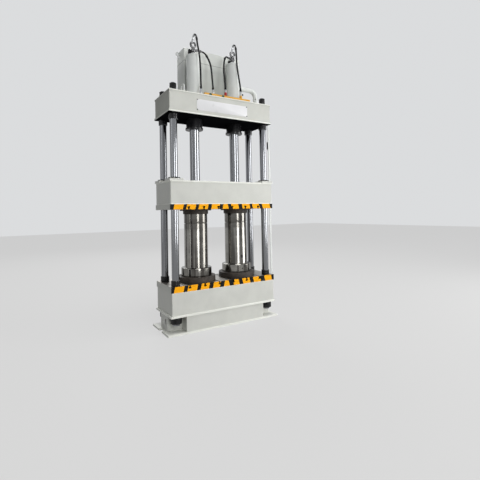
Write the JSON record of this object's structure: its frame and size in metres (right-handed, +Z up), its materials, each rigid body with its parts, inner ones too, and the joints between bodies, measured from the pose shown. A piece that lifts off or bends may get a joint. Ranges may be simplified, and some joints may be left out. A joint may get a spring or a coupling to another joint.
{
  "type": "hydraulic press",
  "caption": "Tall four-column hydraulic press with twin rams, a guided slide resting on steel blocks, T-slotted tables, an overhead oil tank and a welded plinth.",
  "frame": {"origin": "on the floor, midway between the four columns", "axes": "+X to the right along the front, +Y towards the back, +Z up along the columns"},
  "size_m": [1.752, 0.711, 4.2107],
  "materials": {
    "machine_paint": "satin grey-white machine paint",
    "white_paint": "satin white paint",
    "yellow_paint": "satin yellow paint",
    "hard_chrome": "ground and hard chromed",
    "machined_steel": "turned or milled",
    "forged_steel": "dark scaled steel",
    "blackened_steel": "chemically blackened",
    "zinc_plate": "bright zinc plate",
    "hose_rubber": "matt black",
    "switch_plastic": "matt black"
  },
  "bodies": {
    "press_frame": {"base_frame": "machine_paint", "bed_frame": "machine_paint", "bed_table": "machined_steel", "crown_frame": "machine_paint", "oil_tank": "white_paint", "tank_hatch": "white_paint", "filler_cap": "white_paint", "return_pipe": "white_paint", "distribution_bar": "yellow_paint", "port_stub": "zinc_plate", "switch_post": "white_paint", "proximity_switch": "switch_plastic", "column_front_left": "hard_chrome", "crown_nut_front_left": "blackened_steel", "crown_collar_front_left": "blackened_steel", "bed_collar_front_left": "blackened_steel", "foot_nut_front_left": "blackened_steel", "column_front_right": "hard_chrome", "crown_nut_front_right": "blackened_steel", "crown_collar_front_right": "blackened_steel", "bed_collar_front_right": "blackened_steel", "foot_nut_front_right": "blackened_steel", "column_rear_left": "hard_chrome", "crown_nut_rear_left": "blackened_steel", "crown_collar_rear_left": "blackened_steel", "bed_collar_rear_left": "blackened_steel", "foot_nut_rear_left": "blackened_steel", "column_rear_right": "hard_chrome", "crown_nut_rear_right": "blackened_steel", "crown_collar_rear_right": "blackened_steel", "bed_collar_rear_right": "blackened_steel", "foot_nut_rear_right": "blackened_steel", "lifting_bow_left": "white_paint", "barrel_left": "white_paint", "gland_left": "blackened_steel", "cylinder_head_left": "white_paint", "top_fitting_left": "zinc_plate", "press_block_left": "machined_steel", "block_disc_left": "forged_steel", "block_packing_left": "forged_steel", "hose_left_inner": "hose_rubber", "hose_left_outer": "hose_rubber", "lifting_bow_right": "white_paint", "barrel_right": "white_paint", "gland_right": "blackened_steel", "cylinder_head_right": "white_paint", "top_fitting_right": "zinc_plate", "press_block_right": "machined_steel", "block_disc_right": "forged_steel", "block_packing_right": "forged_steel", "hose_right_inner": "hose_rubber", "hose_right_outer": "hose_rubber"},
    "slide": {"slide_frame": "machine_paint", "slide_plate": "machined_steel", "guide_bush_front_left": "blackened_steel", "guide_bush_front_right": "blackened_steel", "guide_bush_rear_left": "blackened_steel", "guide_bush_rear_right": "blackened_steel", "ram_left": "hard_chrome", "ram_right": "hard_chrome"}
  },
  "joints": [
    {"name": "slide_travel", "type": "slide", "parent": "press_frame", "child": "slide", "axis": [0, 0, 1], "range_m": [0, 0.65]}
  ]
}
